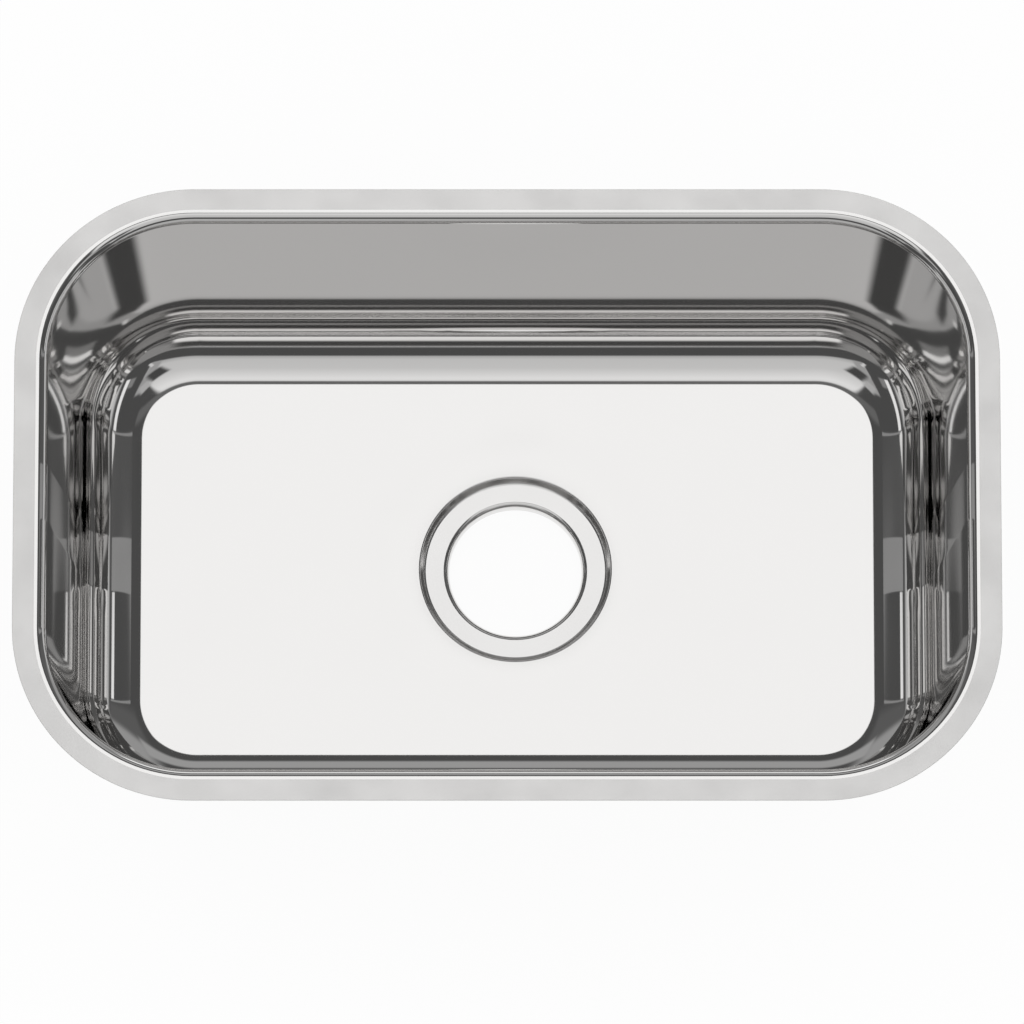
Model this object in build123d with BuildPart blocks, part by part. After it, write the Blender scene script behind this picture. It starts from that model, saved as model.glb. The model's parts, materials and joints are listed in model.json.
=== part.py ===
"""Undermount kitchen sink: one deep-drawn steel bowl with damping pads bonded to its outside.

Millimetres, +Z up. The origin is the centre of the opening, in the flange's top plane, which is the
underside of the worktop. X runs along the sink and the front is at -Y.
"""

import os
from math import atan2, cos, radians, sin, tan

from build123d import *

# Bowl, measured on its inner face
opening_length = 560.0  # between the side walls, in the flange's top plane
opening_width = 346.0  # between the front and back walls, in the same plane
opening_corner = 89.0  # corner radius of the opening in plan
bowl_depth = 170.0  # flange's top plane down to the floor
wall_draft = 8.0  # degrees that the walls lean in
rim_roll = 6.0  # radius of the roll from the flange into the wall
floor_bend = 36.5  # radius of the bend from the wall into the floor
sheet = 0.9  # thickness of the steel

# Flange
flange_width = 20.0  # beyond the opening, all round

# Dish round the outlet, where the floor falls to it
dish_border = 14.0  # flat floor left between the dish and the front and back bends
dish_fall = 0.6  # floor down to the dish's inner rim
dish_rim = 6.0  # level ring between the dish's slope and the recess

# Outlet, for a 3 1/2 inch strainer
outlet_x = 5.0  # outlet's centre, from the middle of the bowl
recess_radius = 59.0  # upper edge of the recess round the seat
recess_lean = 2.5  # how far the recess's wall leans in from that edge to the seat
seat_depth = 4.5  # dish's inner rim down to the seat
throat_radius = 41.0  # bore that the strainer's body passes through
throat_roll = 3.5  # radius of the roll from the seat into the throat
throat_length = 7.5  # seat down to the throat's end

# Damping pads, cut from rubber sheet
pad_thickness = 2.5
pad_margin = 25.0  # flat steel left bare between a pad's edge and the next bend
floor_pad_channel = 18.0  # bare strip between the front and back floor pads
dish_clearance = 6.0  # bare ring between the dish and the floor pads

draft = radians(wall_draft)
# Along the wall's slope, flange's top plane down to where the roll ends and the floor bend starts
roll_end = rim_roll * tan((radians(90) - draft) / 2)
bend_tangent = floor_bend * tan((radians(90) - draft) / 2)
bend_start = bowl_depth / cos(draft) - bend_tangent
# Half the flat floor's length and width, out to the foot of the floor bend
floor_inset = bowl_depth * tan(draft) + bend_tangent
floor_x = opening_length / 2 - floor_inset
floor_y = opening_width / 2 - floor_inset
dish_radius = floor_y - dish_border
# Heights of the seat and of the throat's end
seat_z = -bowl_depth - dish_fall - seat_depth
throat_end_z = seat_z - throat_length
# A square that nothing in the plan passes
past_flange = 2 * (opening_length + opening_width)


def basin(grow):
    """The space inside the walls and the floor, without dish and outlet, grown outwards by grow."""
    side = grow / cos(draft)
    with BuildPart() as space:
        with BuildSketch():
            RectangleRounded(
                opening_length + 2 * side, opening_width + 2 * side, opening_corner + side
            )
        extrude(amount=-bowl_depth - grow, taper=wall_draft)
        fillet(space.faces().sort_by(Axis.Z)[0].edges(), floor_bend + grow)
    return space.part


def drawn_form(grow):
    """The basin with its outlet below it and a slab over the flange, grown outwards by grow.

    With grow 0 its skin is the sheet's inner face. With grow equal to the sheet's thickness its skin
    is the sheet's outer face.
    """
    hanging = (Align.CENTER, Align.CENTER, Align.MAX)
    with BuildPart() as form:
        add(basin(grow))
        # The dish and the recess each fall from a wide radius to a narrow one
        for wide, narrow, top_z, fall in (
            (dish_radius, recess_radius + dish_rim, -bowl_depth, dish_fall),
            (recess_radius, recess_radius - recess_lean, seat_z + seat_depth, seat_depth),
        ):
            # An edge between a level face and a slope moves sideways when both move out
            shift = grow * tan(atan2(fall, wide - narrow) / 2)
            with Locations((outlet_x, 0, top_z - grow)):
                Cone(narrow + shift, wide + shift, fall, align=hanging)
        # Throat, carried down past its end, with the roll at its upper edge
        with Locations((outlet_x, 0, seat_z - grow)):
            Cylinder(throat_radius + grow, 2 * throat_length, align=hanging)
        seat_edges = form.edges().filter_by(GeomType.CIRCLE).group_by(Axis.Z)[1]
        fillet(seat_edges.sort_by(SortBy.RADIUS)[0], throat_roll - grow)
        # Slab over the flange, with the roll where the walls meet it
        with BuildSketch(Plane.XY.offset(-grow)):
            Rectangle(past_flange, past_flange)
        extrude(amount=rim_roll)
        under_slab = form.faces().filter_by(Plane.XY).sort_by(SortBy.AREA)[-2]
        fillet(under_slab.inner_wires()[0].edges(), rim_roll - grow)
    return form.part


# Bowl: the sheet lies between the two forms, trimmed at the flange's edge and at the throat's end
with BuildPart() as bowl:
    add(drawn_form(sheet))
    add(drawn_form(0), mode=Mode.SUBTRACT)
    with BuildSketch(Plane.XY.offset(throat_end_z)):
        RectangleRounded(
            opening_length + 2 * flange_width,
            opening_width + 2 * flange_width,
            opening_corner + flange_width,
        )
    extrude(amount=-throat_end_z, mode=Mode.INTERSECT)
bowl.part.label = "bowl"


def floor_pad(side_x, side_y):
    """The pad under one quarter of the floor, with its inner end curved round the dish."""
    length = floor_x - pad_margin
    width = floor_y - pad_margin - floor_pad_channel / 2
    with BuildPart() as pad:
        with BuildSketch(Plane.XY.offset(-bowl_depth - sheet)):
            with Locations((side_x * length / 2, side_y * (floor_pad_channel + width) / 2)):
                Rectangle(length, width)
            with Locations((outlet_x, 0)):
                Circle(dish_radius + dish_clearance, mode=Mode.SUBTRACT)
        extrude(amount=-pad_thickness)
    return pad.part


def wall_pad(toward, opening, along):
    """The pad on the outside of one wall: toward is its way out in plan, opening the span across."""
    wall = Plane(
        origin=(
            toward[0] * (opening / 2 + sheet / cos(draft)),
            toward[1] * (opening / 2 + sheet / cos(draft)),
            0,
        ),
        x_dir=(-toward[1], toward[0], 0),
        z_dir=(toward[0] * cos(draft), toward[1] * cos(draft), -sin(draft)),
    )
    height = bend_start - roll_end - 2 * pad_margin
    with BuildPart() as pad:
        with BuildSketch(wall):
            with Locations((0, -(roll_end + bend_start) / 2)):
                Rectangle(along - 2 * (opening_corner + pad_margin), height)
        extrude(amount=pad_thickness)
    return pad.part


pads = {}
for side_y, end in ((-1, "front"), (1, "back")):
    for side_x, hand in ((-1, "left"), (1, "right")):
        pads[f"floor_pad_{end}_{hand}"] = floor_pad(side_x, side_y)
    pads[f"wall_pad_{end}"] = wall_pad((0, side_y), opening_width, opening_length)
for side_x, hand in ((-1, "left"), (1, "right")):
    pads[f"wall_pad_{hand}"] = wall_pad((side_x, 0), opening_length, opening_width)

os.makedirs("parts", exist_ok=True)
export_step(bowl.part, "parts/bowl.step")
for name, pad in pads.items():
    pad.label = name
    export_step(pad, f"parts/{name}.step")
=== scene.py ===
"""Undermount kitchen sink on a white studio floor, under a soft overhead light.

The frame and Blender are in metres, +Z up. Sizes here are in millimetres until the last step of each
mesh, and those that the frame doesn't give are named below.
"""

import json

import bpy
import numpy as np
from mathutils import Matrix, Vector


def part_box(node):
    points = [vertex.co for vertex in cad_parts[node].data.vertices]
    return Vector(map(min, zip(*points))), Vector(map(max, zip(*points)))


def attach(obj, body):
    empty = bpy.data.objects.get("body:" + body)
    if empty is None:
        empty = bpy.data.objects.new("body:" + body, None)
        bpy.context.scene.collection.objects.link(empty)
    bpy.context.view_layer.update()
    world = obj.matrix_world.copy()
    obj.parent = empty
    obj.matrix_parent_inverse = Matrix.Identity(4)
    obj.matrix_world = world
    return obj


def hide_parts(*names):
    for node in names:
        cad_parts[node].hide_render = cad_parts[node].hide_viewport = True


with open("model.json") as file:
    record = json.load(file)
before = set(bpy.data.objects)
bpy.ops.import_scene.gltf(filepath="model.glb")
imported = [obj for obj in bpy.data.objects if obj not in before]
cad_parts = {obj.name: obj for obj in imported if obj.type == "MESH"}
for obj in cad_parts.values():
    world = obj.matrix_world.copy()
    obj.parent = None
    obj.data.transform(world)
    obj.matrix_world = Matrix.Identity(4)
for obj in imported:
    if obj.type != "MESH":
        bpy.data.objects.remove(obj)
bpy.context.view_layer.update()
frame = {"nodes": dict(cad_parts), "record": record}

MM = 0.001  # millimetres to metres

# ---------------------------------------------------------------------------------------------
# Sizes in millimetres
# ---------------------------------------------------------------------------------------------

MOUNTS = {mount["name"]: mount for mount in frame["record"]["mounts"]}
BOWL_LOW, BOWL_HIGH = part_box("bowl")

FLANGE_WIDTH = 20.0
OPENING_CORNER = 89.0
WALL_DRAFT = np.radians(8.0)
RIM_ROLL = 6.0
FLOOR_BEND = 36.5
BOWL_DEPTH = 170.0
DISH_BORDER = 14.0
DISH_FALL = 0.6
DISH_RIM = 6.0
RECESS_RADIUS = 59.0
RECESS_LEAN = 2.5
RECESS_EDGE = 1.2  # rounding of the recess's upper edge
RECESS_FOOT = 2.0  # rounding where the recess meets the seat
THROAT_ROLL = 3.5
CUT_EDGE = 0.25  # rounding of the sheet's cut edges
BUFFED_EDGE = 1.6  # how far the bowl's polish runs out over the flange

HALF_LENGTH = BOWL_HIGH[0] / MM - FLANGE_WIDTH
HALF_WIDTH = BOWL_HIGH[1] / MM - FLANGE_WIDTH
THROAT_RADIUS = MOUNTS["outlet_bore"]["dims"]["r_mm"]
THROAT_END_Z = BOWL_LOW[2] / MM
OUTLET_X = MOUNTS["outlet_bore"]["pos_m"][0] / MM
SEAT_Z = MOUNTS["outlet_seat"]["pos_m"][2] / MM
SHEET = SEAT_Z - MOUNTS["outlet_gasket_face"]["pos_m"][2] / MM

# Worked out as the solid is, from the draft and the bends
SEAT_DEPTH = -BOWL_DEPTH - DISH_FALL - SEAT_Z
UPRIGHT = np.pi / 2 - WALL_DRAFT  # the wall's tilt from level
ROLL_TANGENT = RIM_ROLL * np.tan(UPRIGHT / 2)
FLOOR_INSET = BOWL_DEPTH * np.tan(WALL_DRAFT) + FLOOR_BEND * np.tan(UPRIGHT / 2)
DISH_RADIUS = HALF_WIDTH - FLOOR_INSET - DISH_BORDER
DISH_INNER = RECESS_RADIUS + DISH_RIM

# Steps that each stretch of the bowl's surface takes: along the sides and round a corner in plan, then
# from the flange down to the throat
LONG_SIDE_STEPS = 64
SHORT_SIDE_STEPS = 24
CORNER_STEPS = 30
SATIN_STEPS = 3
RIM_ROLL_STEPS = 18
WALL_STEPS = 13
BEND_STEPS = 28
FLOOR_STEPS = 10
DISH_STEPS = 12
RECESS_EDGE_STEPS = 8
THROAT_ROLL_STEPS = 12
CUT_EDGE_STEPS = 4

# ---------------------------------------------------------------------------------------------
# Bowl: a profile carried round a rounded rectangle that turns into a circle at the outlet
# ---------------------------------------------------------------------------------------------


def way_round():
    """The rounded rectangle that every level of the bowl follows, once round.

    A point of it is a place on the rectangle of corner centres plus a radius times the way out. Along
    a side the place moves and the way out stands still, and round a corner it is the other way round.
    Returns the places and the ways out, one row for each step.
    """
    reach = np.array((HALF_LENGTH, HALF_WIDTH)) - OPENING_CORNER
    signs = np.array(((1, -1), (1, 1), (-1, 1), (-1, -1)))
    places, angles = [], []
    for quarter, steps in enumerate(2 * (SHORT_SIDE_STEPS, LONG_SIDE_STEPS)):
        corner, next_corner = signs[quarter] * reach, signs[(quarter + 1) % 4] * reach
        end = quarter * np.pi / 2
        along = np.linspace(0, 1, steps, endpoint=False)[:, None]
        places += [np.tile(corner, (CORNER_STEPS, 1)), corner + along * (next_corner - corner)]
        angles += [np.linspace(end - np.pi / 2, end, CORNER_STEPS, endpoint=False), np.full(steps, end)]
    angle = np.concatenate(angles)
    return np.concatenate(places), np.stack((np.cos(angle), np.sin(angle)), axis=1)


def even(start, end, steps):
    """Values from start to end in equal steps, both of them included."""
    return np.linspace(start, end, steps + 1)


def stations(on_ring, across, z, tilt):
    """Rows of a profile: how far the level has turned from rounded rectangle to circle, from 0 to 1,
    how far in it lies, its height, and the tilt of its face from level, all as equally long columns."""
    columns = np.broadcast_arrays(*np.atleast_1d(on_ring, across, z, tilt))
    return np.stack(columns, axis=1).astype(float)


def convex(on_ring, across, z, radius, tilts):
    """An arc that bulges towards its face: its centre plus the radius along the face's way out."""
    return stations(on_ring, across + radius * np.sin(tilts), z + radius * np.cos(tilts), tilts)


def concave(on_ring, across, z, radius, tilts):
    """An arc that is hollow towards its face: its centre less the radius along the way out."""
    return stations(on_ring, across - radius * np.sin(tilts), z - radius * np.cos(tilts), tilts)


def inner_profile():
    """The sheet's inner face from the flange's edge down to the throat's end.

    Across is measured inwards from the opening's edge while the level is a rounded rectangle, and is
    less than zero by the radius while it is a circle. The dish falls as half a cosine wave.
    """
    wall_top = -ROLL_TANGENT * np.cos(WALL_DRAFT)
    wall_foot = FLOOR_BEND * (1 - np.sin(WALL_DRAFT)) - BOWL_DEPTH
    wall_z = even(wall_top, wall_foot, WALL_STEPS)[1:-1]
    to_circle = even(0, 1, FLOOR_STEPS)[1:]
    dish_run = DISH_RADIUS - DISH_INNER
    fall = even(0, 1, DISH_STEPS)[1:]
    fall_z = -BOWL_DEPTH - DISH_FALL * (1 - np.cos(np.pi * fall)) / 2
    dish_tilt = np.arctan(DISH_FALL / dish_run * np.pi / 2 * np.sin(np.pi * fall))
    recess_tilt = np.arctan2(SEAT_DEPTH, RECESS_LEAN)
    recess_turn = even(0, recess_tilt, RECESS_EDGE_STEPS)
    edge_across = -RECESS_RADIUS - RECESS_EDGE * np.tan(recess_tilt / 2)
    foot_across = RECESS_LEAN - RECESS_RADIUS + RECESS_FOOT * np.tan(recess_tilt / 2)
    throat_turn = even(0, np.pi / 2, THROAT_ROLL_STEPS)
    return np.concatenate(
        (
            # Flange, rim roll, wall and floor bend
            stations(0, even(CUT_EDGE - FLANGE_WIDTH, -ROLL_TANGENT - BUFFED_EDGE, SATIN_STEPS), 0, 0),
            convex(0, -ROLL_TANGENT, -RIM_ROLL, RIM_ROLL, even(0, UPRIGHT, RIM_ROLL_STEPS)),
            stations(0, -wall_z * np.tan(WALL_DRAFT), wall_z, UPRIGHT),
            concave(0, FLOOR_INSET, FLOOR_BEND - BOWL_DEPTH, FLOOR_BEND, even(UPRIGHT, 0, BEND_STEPS)),
            # Flat floor and dish
            stations(to_circle, -DISH_RADIUS, -BOWL_DEPTH, 0),
            stations(1, dish_run * fall - DISH_RADIUS, fall_z, dish_tilt),
            # Recess, roll into the throat, and throat
            convex(1, edge_across, -BOWL_DEPTH - DISH_FALL - RECESS_EDGE, RECESS_EDGE, recess_turn),
            concave(1, foot_across, SEAT_Z + RECESS_FOOT, RECESS_FOOT, recess_turn[::-1]),
            convex(1, -THROAT_RADIUS - THROAT_ROLL, SEAT_Z - THROAT_ROLL, THROAT_ROLL, throat_turn),
            stations(1, -THROAT_RADIUS, THROAT_END_Z + CUT_EDGE, np.pi / 2),
        )
    )


def sheet_profile():
    """The whole way round the sheet: inner face, throat's end, outer face and the flange's edge.

    The outer face is the inner one moved back by the sheet's thickness, with its tilt half a turn
    further on. Returns the stations and how many of them are the inner face.
    """
    inner = inner_profile()
    outer = inner.copy()
    outer[:, 1] -= SHEET * np.sin(inner[:, 3])
    outer[:, 2] -= SHEET * np.cos(inner[:, 3])
    outer[:, 3] += np.pi
    quarter = even(0, np.pi / 2, CUT_EDGE_STEPS)
    low_z = THROAT_END_Z + CUT_EDGE
    inner_lip = convex(1, -CUT_EDGE - THROAT_RADIUS, low_z, CUT_EDGE, quarter[1:] + np.pi / 2)
    outer_lip = convex(1, CUT_EDGE - SHEET - THROAT_RADIUS, low_z, CUT_EDGE, quarter[:-1] + np.pi)
    across = CUT_EDGE - FLANGE_WIDTH
    under_edge = convex(0, across, CUT_EDGE - SHEET, CUT_EDGE, quarter[1:] + np.pi)
    top_edge = convex(0, across, -CUT_EDGE, CUT_EDGE, quarter[:-1] + 3 * np.pi / 2)
    return np.concatenate((inner, inner_lip, outer_lip, outer[::-1], under_edge, top_edge)), len(inner)


def bowl_surface():
    """Points and ways out of the whole sheet, as arrays of profile by way round.

    Each point is the mix, by how far the level has turned into a circle, of the rounded rectangle at
    the station's inset and the outlet's circle at its radius. A ray from the outlet through the
    foot of the floor bend ties the two, so no two lines of the floor cross. The face looks along its
    tilt, between straight up and straight in.
    """
    profile, inner_count = sheet_profile()
    on_ring, across, z, tilt = (column[:, None, None] for column in profile.T)
    place, out = way_round()
    foot = place + (OPENING_CORNER - FLOOR_INSET) * out
    outlet = np.array((OUTLET_X, 0.0))
    ring_out = (foot - outlet) / np.linalg.norm(foot - outlet, axis=1, keepdims=True)
    path_across = np.where(on_ring == 0, across, FLOOR_INSET)
    ring_across = np.where(on_ring == 1, across, -DISH_RADIUS)
    flat = (1 - on_ring) * (place + (OPENING_CORNER - path_across) * out)
    flat = flat + on_ring * (outlet - ring_across * ring_out)
    inwards = -np.where(on_ring == 1, ring_out, out)
    points = np.concatenate((flat, np.broadcast_to(z, flat[..., :1].shape)), axis=2)
    level = np.cos(tilt)
    looks = np.concatenate((np.sin(tilt) * inwards, np.broadcast_to(level, flat[..., :1].shape)), axis=2)
    return points, looks, inner_count


def grid_quads(rows, columns):
    """Corner numbers of the quads of a grid that closes on itself both ways."""
    row, column = np.meshgrid(np.arange(rows), np.arange(columns), indexing="ij")
    next_row, next_column = (row + 1) % rows, (column + 1) % columns
    corners = (row * columns + column, row * columns + next_column)
    corners += (next_row * columns + next_column, next_row * columns + column)
    return np.stack(corners, axis=-1).reshape(-1, 4)


def new_piece(name, points, quads, looks=None):
    """A smooth mesh object at the origin from points in millimetres and quads, with given normals."""
    mesh = bpy.data.meshes.new(name)
    mesh.from_pydata((points.reshape(-1, 3) * MM).tolist(), [], quads.tolist())
    mesh.shade_smooth()
    if looks is not None:
        mesh.normals_split_custom_set_from_vertices(looks.reshape(-1, 3).tolist())
    piece = bpy.data.objects.new(name, mesh)
    bpy.context.scene.collection.objects.link(piece)
    return piece


def make_bowl(mirror_finish, satin_finish, mill_finish):
    """The drawn sheet: mirror polished inside the rim, satin on top of the flange and as rolled outside.

    Its rows of quads run down the inside, round the throat's end and back up the outside.
    """
    points, looks, inner_count = bowl_surface()
    quads = grid_quads(*points.shape[:2])
    bowl = new_piece("drawn_bowl", points, quads, looks)
    for finish in (mirror_finish, satin_finish, mill_finish):
        bowl.data.materials.append(finish)
    row = np.arange(len(quads)) // points.shape[1]
    on_flange = (row < SATIN_STEPS) | (row >= len(points) - CUT_EDGE_STEPS)
    finish_number = np.where(on_flange, 1, np.where(row < inner_count, 0, 2))
    bowl.data.polygons.foreach_set("material_index", finish_number.astype(np.int32))
    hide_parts("bowl")
    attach(bowl, "root")


def cover_pads(rubber_finish):
    """The CAD's own pads, which are plain sheet, with the rubber's finish."""
    for name, node in frame["nodes"].items():
        if "pad" in name:
            node.data.materials.clear()
            node.data.materials.append(rubber_finish)


# ---------------------------------------------------------------------------------------------
# Finishes
# ---------------------------------------------------------------------------------------------


# How the end walls' faces turn in plan: over which millimetres along Y, and the degrees in front of that
END_BOW = ((18, 20, -1.4), (-17, -15, -1.8), (-106, -84, 3.2))
DULL_FADE = 9.0  # over how many millimetres round the recess the polish takes over from the duller seat


def linear(hex_colour):
    """An sRGB hex colour as the linear RGBA that shaders take."""
    values = np.array([int(hex_colour[i : i + 2], 16) / 255 for i in (1, 3, 5)])
    values = np.where(values <= 0.04045, values / 12.92, ((values + 0.055) / 1.055) ** 2.4)
    return (*values.tolist(), 1.0)


def add_node(tree, kind, settings=None, *values, **named_values):
    """A node of one kind with its settings, and its inputs, in order or by name, set or linked."""
    node = tree.nodes.new(kind)
    for name, value in (settings or {}).items():
        setattr(node, name, value)
    inputs = [(node.inputs[place], value) for place, value in enumerate(values)]
    inputs += [(node.inputs[name.replace("_", " ")], value) for name, value in named_values.items()]
    for socket, value in inputs:
        if isinstance(value, bpy.types.NodeSocket):
            tree.links.new(value, socket)
        else:
            socket.default_value = value
    return node


def new_material(name):
    """An empty node material and its output node."""
    material = bpy.data.materials.new(name)
    material.use_nodes = True
    material.node_tree.nodes.clear()
    return material, material.node_tree.nodes.new("ShaderNodeOutputMaterial")


def mirror_polished_stainless():
    """Drawn stainless steel buffed to a mirror: crisp reflections that a drawn sheet's bow and waves bend.

    In plan the end walls turn a degree or two at two places along them, and back in the front corners.
    END_BOW gives the turns, which are laid on the normal in proportion to how squarely it looks along
    the sink. The waves are a fine relief.
    """
    material, output = new_material("mirror_polished_stainless")
    tree = material.node_tree
    coordinates = add_node(tree, "ShaderNodeTexCoord")
    place, face = coordinates.outputs["Object"], coordinates.outputs["Normal"]

    along = add_node(tree, "ShaderNodeSeparateXYZ", None, place).outputs["Y"]
    sideways = add_node(tree, "ShaderNodeSeparateXYZ", None, face).outputs["X"]
    squarely = add_node(tree, "ShaderNodeMath", {"operation": "ABSOLUTE"}, sideways).outputs[0]
    bow = 0.0
    for front, back, degrees in END_BOW:
        turn = float(np.radians(degrees))
        step = add_node(tree, "ShaderNodeMapRange", None, along, front * MM, back * MM, turn, 0.0)
        bow = add_node(tree, "ShaderNodeMath", {"operation": "ADD"}, step.outputs[0], bow).outputs[0]
    bow = add_node(tree, "ShaderNodeMath", {"operation": "MULTIPLY"}, squarely, bow).outputs[0]
    turned = add_node(tree, "ShaderNodeCombineXYZ", None, 0.0, bow, 0.0).outputs[0]
    turned = add_node(tree, "ShaderNodeVectorMath", {"operation": "ADD"}, face, turned).outputs[0]
    turned = add_node(tree, "ShaderNodeVectorMath", {"operation": "NORMALIZE"}, turned).outputs[0]

    # The draw leaves waves a hand's width long and some hundredths of a millimetre high
    waves = add_node(
        tree,
        "ShaderNodeTexNoise",
        Vector=place,
        Scale=1 / (90 * MM),
        Detail=1.0,
        Roughness=0.4,
    )
    relief = add_node(
        tree,
        "ShaderNodeBump",
        Strength=1.0,
        Distance=0.03 * MM,
        Height=waves.outputs["Fac"],
        Normal=turned,
    )

    # Buffing leaves a haze that comes and goes, and the pressed seat round the outlet is duller
    haze = add_node(tree, "ShaderNodeTexNoise", Vector=place, Scale=1 / (55 * MM), Detail=2.0)
    hazy = add_node(tree, "ShaderNodeMapRange", Value=haze.outputs["Fac"], To_Min=0.03, To_Max=0.07)
    seat = (OUTLET_X * MM, 0, SEAT_Z * MM)
    reach = add_node(tree, "ShaderNodeVectorMath", {"operation": "DISTANCE"}, place, seat)
    duller = add_node(
        tree,
        "ShaderNodeMapRange",
        Value=reach.outputs["Value"],
        From_Min=(RECESS_RADIUS + DULL_FADE) * MM,
        From_Max=RECESS_RADIUS * MM,
        To_Max=0.06,
    )
    rough = add_node(
        tree, "ShaderNodeMath", {"operation": "ADD"}, hazy.outputs["Result"], duller.outputs["Result"]
    )
    steel = add_node(
        tree,
        "ShaderNodeBsdfPrincipled",
        Base_Color=linear("#E5E4E3"),
        Metallic=1.0,
        Roughness=rough.outputs[0],
        Normal=relief.outputs["Normal"],
    )
    tree.links.new(steel.outputs["BSDF"], output.inputs["Surface"])
    return material


def satin_stainless():
    """The flange's satin, ground flat and left unpolished: soft, cloudy and light grey.

    Its grain scatters part of the light every way, which the lower metallic value stands for.
    """
    material, output = new_material("satin_stainless")
    tree = material.node_tree
    place = add_node(tree, "ShaderNodeTexCoord").outputs["Object"]
    cloud = add_node(tree, "ShaderNodeTexNoise", Vector=place, Scale=1 / (33 * MM), Detail=3.0)
    rough = add_node(tree, "ShaderNodeMapRange", Value=cloud.outputs["Fac"], To_Min=0.1, To_Max=0.2)
    steel = add_node(
        tree,
        "ShaderNodeBsdfPrincipled",
        Base_Color=linear("#DAD9D8"),
        Metallic=0.6,
        Roughness=rough.outputs["Result"],
    )
    tree.links.new(steel.outputs["BSDF"], output.inputs["Surface"])
    return material


def mill_finish_stainless():
    """The outside as the mill rolled and the press drew it: dull grey with faint upright streaks."""
    material, output = new_material("mill_finish_stainless")
    tree = material.node_tree
    place = add_node(tree, "ShaderNodeTexCoord").outputs["Object"]
    # Streaks run with the draw, about 3 mm apart round the bowl and 60 mm long
    apart, long = 3 * MM, 60 * MM
    stretched = add_node(tree, "ShaderNodeMapping", None, place, Scale=(1 / apart, 1 / apart, 1 / long))
    streaks = add_node(tree, "ShaderNodeTexNoise", None, stretched.outputs[0], Scale=1.0, Detail=3.0)
    rough = add_node(tree, "ShaderNodeMapRange", Value=streaks.outputs["Fac"], To_Min=0.3, To_Max=0.48)
    steel = add_node(
        tree,
        "ShaderNodeBsdfPrincipled",
        Base_Color=linear("#B4B3B1"),
        Metallic=1.0,
        Roughness=rough.outputs["Result"],
    )
    tree.links.new(steel.outputs["BSDF"], output.inputs["Surface"])
    return material


def butyl_rubber():
    """Filled butyl sheet, calendered: nearly black and matt, with a fine pebble and paler bloom."""
    material, output = new_material("butyl_rubber")
    tree = material.node_tree
    place = add_node(tree, "ShaderNodeTexCoord").outputs["Object"]
    bloom = add_node(
        tree,
        "ShaderNodeTexNoise",
        Vector=place,
        Scale=1 / (25 * MM),
        Detail=4.0,
        Roughness=0.6,
    )
    colour = add_node(tree, "ShaderNodeMix", {"data_type": "RGBA"}, Factor=bloom.outputs["Fac"])
    colour.inputs[6].default_value = linear("#26262A")
    colour.inputs[7].default_value = linear("#3E3E42")
    # The real pebble is about half a millimetre, too fine to show, and is drawn three times as coarse
    pebble = add_node(
        tree,
        "ShaderNodeTexVoronoi",
        {"feature": "SMOOTH_F1"},
        Vector=place,
        Scale=1 / (1.6 * MM),
    )
    relief = add_node(
        tree,
        "ShaderNodeBump",
        Strength=0.5,
        Distance=0.15 * MM,
        Height=pebble.outputs["Distance"],
    )
    rubber = add_node(
        tree,
        "ShaderNodeBsdfPrincipled",
        Base_Color=colour.outputs[2],
        Roughness=0.62,
        Normal=relief.outputs["Normal"],
    )
    tree.links.new(rubber.outputs["BSDF"], output.inputs["Surface"])
    return material


make_bowl(mirror_polished_stainless(), satin_stainless(), mill_finish_stainless())
cover_pads(butyl_rubber())

# ---------------------------------------------------------------------------------------------
# Studio
# ---------------------------------------------------------------------------------------------

# The photograph's view of the rim
CAMERA_ELEVATION = np.radians(74.1)
CAMERA_DISTANCE = 9.2  # metres
SENSOR = 36.0  # millimetres, the width of the camera's own frame
FRAME_PIXELS = 1024
PIXELS_PER_MM = 1.647  # at the rim's centre
RIM_CENTRE_PX = (507.2, 493.0)  # from the photograph's top left corner


def make_camera():
    """The photograph's view: high in front of the sink, aimed so that the rim falls where it does."""
    data = bpy.data.cameras.new("camera")
    data.sensor_width = SENSOR
    data.lens = PIXELS_PER_MM / MM * CAMERA_DISTANCE * SENSOR / FRAME_PIXELS
    camera = bpy.data.objects.new("camera", data)
    bpy.context.scene.collection.objects.link(camera)
    back = Vector((0, -np.cos(CAMERA_ELEVATION), np.sin(CAMERA_ELEVATION)))
    up = Vector((0, np.sin(CAMERA_ELEVATION), np.cos(CAMERA_ELEVATION)))
    right_px = FRAME_PIXELS / 2 - RIM_CENTRE_PX[0]
    down_px = FRAME_PIXELS / 2 - RIM_CENTRE_PX[1]
    aim = (Vector((1, 0, 0)) * right_px - up * down_px) * MM / PIXELS_PER_MM
    camera.location = aim + back * CAMERA_DISTANCE
    camera.rotation_euler = back.to_track_quat("Z", "Y").to_euler()
    data.clip_end = 100
    bpy.context.scene.camera = camera


DOME_LIGHT = 0.08  # the room where no panel is
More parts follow.
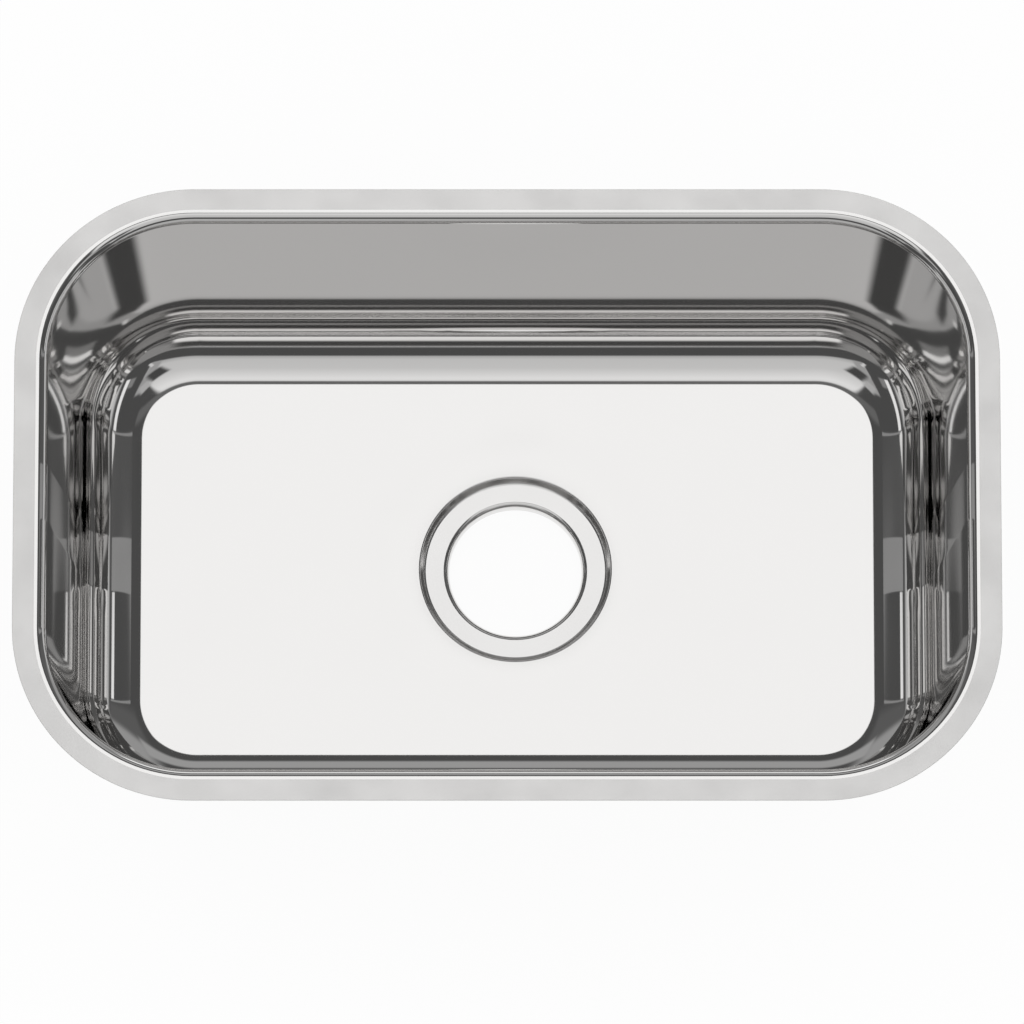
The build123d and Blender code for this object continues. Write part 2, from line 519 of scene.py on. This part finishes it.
# The soft boxes and flags of the studio on the dome over the sink, each laid over those before it. All
# are in degrees from the zenith, and the same left and right: the panel's middle aside and towards the
# back, half its width and depth, and how far it is turned. Then comes its light, which for the ceiling
# is the ramp below, and how many degrees its edges are soft over.
DOME_PANELS = (
    ("ceiling", 0, -60, 51.6, 51.6, 45, None, 1.0),
    ("dark_before", 0, -69, 95, 25, 0, 0.08, 1.5),
    ("dim_ceiling_edge", 33, -26, 5, 18, 0, 0.38, 1.8),
    ("dark_beside", 54, -28, 16, 26, 0, 0.08, 1.0),
    ("dark_card", 25.2, -24.3, 6.4, 7.6, 45, 0.07, 2.2),
    ("grey_card", 29.5, -12.5, 4.0, 5.5, 45, 0.48, 1.6),
    ("window_at_corner", 37.5, -40.5, 1.6, 3.5, 45, 0.7, 0.8),
    ("grey_beside", 52, -24, 3.5, 5, 0, 0.25, 1.5),
    ("room_behind", 55, 48, 35, 14, 0, 0.35, 8),
    ("haze_beside", 40, 27, 25, 8, 0, 0.12, 4),
    ("wall_behind_low", 0, 74, 60, 10, 0, 0.4, 3),
    ("window_behind", 0, 66, 22, 6.5, 0, 1.1, 3.0),
    ("grey_wall_behind", 0, 41, 24, 7.5, 0, 0.38, 2.5),
    ("floor_before", 0, -75, 60, 13, 0, 0.5, 3),
    ("floor_beside", 77, 0, 9, 60, 0, 0.6, 3),
    ("strip_beside", 59, -6.6, 2.8, 22.3, 0, 0.95, 0.7),
    ("faint_panel_beside", 43, 16.35, 20, 0.75, 3.3, 0.3, 0.25),
    ("flag", 0, 9, 20, 3, 0, 0.15, 1.5),
    ("overhead_box", 0, 16.3, 4.4, 4.2, 0, 1.11, 0.7),
)
# The ceiling's light from its front to its back, as degrees towards the back and light
CEILING_LIGHT = ((-45, 0.42), (-37, 0.63), (-20, 0.66), (-8, 0.8), (0, 0.9), (4, 0.85), (7, 0.4), (13, 0.2))


def make_studio_light():
    """The studio that the polished steel shows, as a sky worked out from the panels above.

    A direction is laid flat as its degrees from the zenith, split into aside and behind. Over a dim
    dome each panel's light is mixed in by how far the direction lies inside the panel's edges. The
    camera and matt surfaces meet an even white instead.
    """
    world = bpy.data.worlds.new("studio")
    bpy.context.scene.world = world
    world.use_nodes = True
    # Sampled as a light, the sky would light matt surfaces with its panels too
    world.cycles.sampling_method = "NONE"
    tree = world.node_tree
    tree.nodes.clear()

    way = add_node(tree, "ShaderNodeTexCoord").outputs["Generated"]
    height = add_node(tree, "ShaderNodeSeparateXYZ", None, way).outputs["Z"]
    zenith = add_node(tree, "ShaderNodeMath", {"operation": "ARCCOSINE"}, height).outputs[0]
    zenith = add_node(tree, "ShaderNodeMath", {"operation": "DEGREES"}, zenith).outputs[0]
    level = add_node(tree, "ShaderNodeVectorMath", {"operation": "MULTIPLY"}, way, (1, 1, 0)).outputs[0]
    level = add_node(tree, "ShaderNodeVectorMath", {"operation": "NORMALIZE"}, level).outputs[0]
    flat = add_node(tree, "ShaderNodeVectorMath", {"operation": "SCALE"}, level, Scale=zenith).outputs[0]
    flat = add_node(tree, "ShaderNodeSeparateXYZ", None, flat)
    behind = flat.outputs["Y"]
    aside = add_node(tree, "ShaderNodeMath", {"operation": "ABSOLUTE"}, flat.outputs["X"]).outputs[0]
    spot = add_node(tree, "ShaderNodeCombineXYZ", None, aside, behind, 0.0).outputs[0]

    (front, _), *_, (back, _) = CEILING_LIGHT
    along = add_node(tree, "ShaderNodeMapRange", None, behind, front, back).outputs[0]
    ceiling = add_node(tree, "ShaderNodeValToRGB", None, along)
    while len(ceiling.color_ramp.elements) < len(CEILING_LIGHT):
        ceiling.color_ramp.elements.new(0.5)
    for mark, (angle, strength) in zip(ceiling.color_ramp.elements, CEILING_LIGHT):
        mark.position = (angle - front) / (back - front)
        mark.color = (strength, strength, strength, 1)

    light = DOME_LIGHT
    for name, middle_x, middle_y, half_width, half_depth, turned, strength, soft in DOME_PANELS:
        # The spot as the panel's own degrees, and from 0 to 1 as it passes an edge inwards
        own = add_node(
            tree,
            "ShaderNodeMapping",
            {"vector_type": "TEXTURE", "label": name},
            spot,
            (middle_x, middle_y, 0),
            (0, 0, float(np.radians(turned))),
        )
        own = add_node(tree, "ShaderNodeVectorMath", {"operation": "ABSOLUTE"}, own.outputs[0])
        own = add_node(tree, "ShaderNodeSeparateXYZ", None, own.outputs[0])
        in_width, in_depth = (
            add_node(
                tree,
                "ShaderNodeMapRange",
                {"interpolation_type": "SMOOTHSTEP"},
                own.outputs[axis],
                half + soft,
                half - soft,
            ).outputs[0]
            for axis, half in (("X", half_width), ("Y", half_depth))
        )
        share = add_node(tree, "ShaderNodeMath", {"operation": "MULTIPLY"}, in_width, in_depth).outputs[0]
        if strength is None:
            strength = ceiling.outputs["Color"]
        light = add_node(tree, "ShaderNodeMix", None, share, A=light, B=strength).outputs[0]

    seen = add_node(tree, "ShaderNodeLightPath").outputs
    rays = seen["Is Camera Ray"], seen["Is Diffuse Ray"]
    plain = add_node(tree, "ShaderNodeMath", {"operation": "MAXIMUM"}, *rays).outputs[0]
    light = add_node(tree, "ShaderNodeMix", None, plain, A=light, B=1.0).outputs[0]
    sky = add_node(tree, "ShaderNodeBackground", Color=(1, 1, 1, 1), Strength=light)
    output = tree.nodes.new("ShaderNodeOutputWorld")
    tree.links.new(sky.outputs[0], output.inputs["Surface"])


FLOOR_REACH = 6000.0  # from the middle to the paper's edges


def make_floor():
    """White paper under the throat's end, wide enough for every view.

    The camera and the polished steel see it as all but pure white, a little darker in the sink's shadow.
    """
    corners = FLOOR_REACH * np.array(((-1, -1), (1, -1), (1, 1), (-1, 1)))
    points = np.concatenate((corners, np.full((4, 1), THROAT_END_Z)), axis=1)
    floor = new_piece("studio_floor", points, np.array(((0, 1, 2, 3),)))
    material, output = new_material("white_paper")
    tree = material.node_tree
    paper = add_node(tree, "ShaderNodeBsdfDiffuse", Color=(0.9, 0.9, 0.9, 1))
    glow = add_node(tree, "ShaderNodeEmission", Color=(1, 1, 1, 1), Strength=1.0)
    seen = add_node(tree, "ShaderNodeLightPath").outputs
    rays = seen["Is Camera Ray"], seen["Is Glossy Ray"]
    direct = add_node(tree, "ShaderNodeMath", {"operation": "MAXIMUM"}, *rays).outputs[0]
    rays = direct, seen["Is Transmission Ray"]
    direct = add_node(tree, "ShaderNodeMath", {"operation": "MAXIMUM"}, *rays).outputs[0]
    # The small share that stays matt carries the shadow
    share = add_node(tree, "ShaderNodeMath", {"operation": "MULTIPLY"}, direct, 0.94).outputs[0]
    mixed = add_node(tree, "ShaderNodeMixShader", None, share, paper.outputs[0], glow.outputs[0])
    # From below the paper isn't there, so that a view of the underside finds it
    below = add_node(tree, "ShaderNodeNewGeometry").outputs["Backfacing"]
    clear = add_node(tree, "ShaderNodeBsdfTransparent")
    mixed = add_node(tree, "ShaderNodeMixShader", None, below, mixed.outputs[0], clear.outputs[0])
    tree.links.new(mixed.outputs[0], output.inputs["Surface"])
    floor.data.materials.append(material)


make_camera()
make_studio_light()
make_floor()
bpy.context.scene.view_settings.view_transform = "Standard"
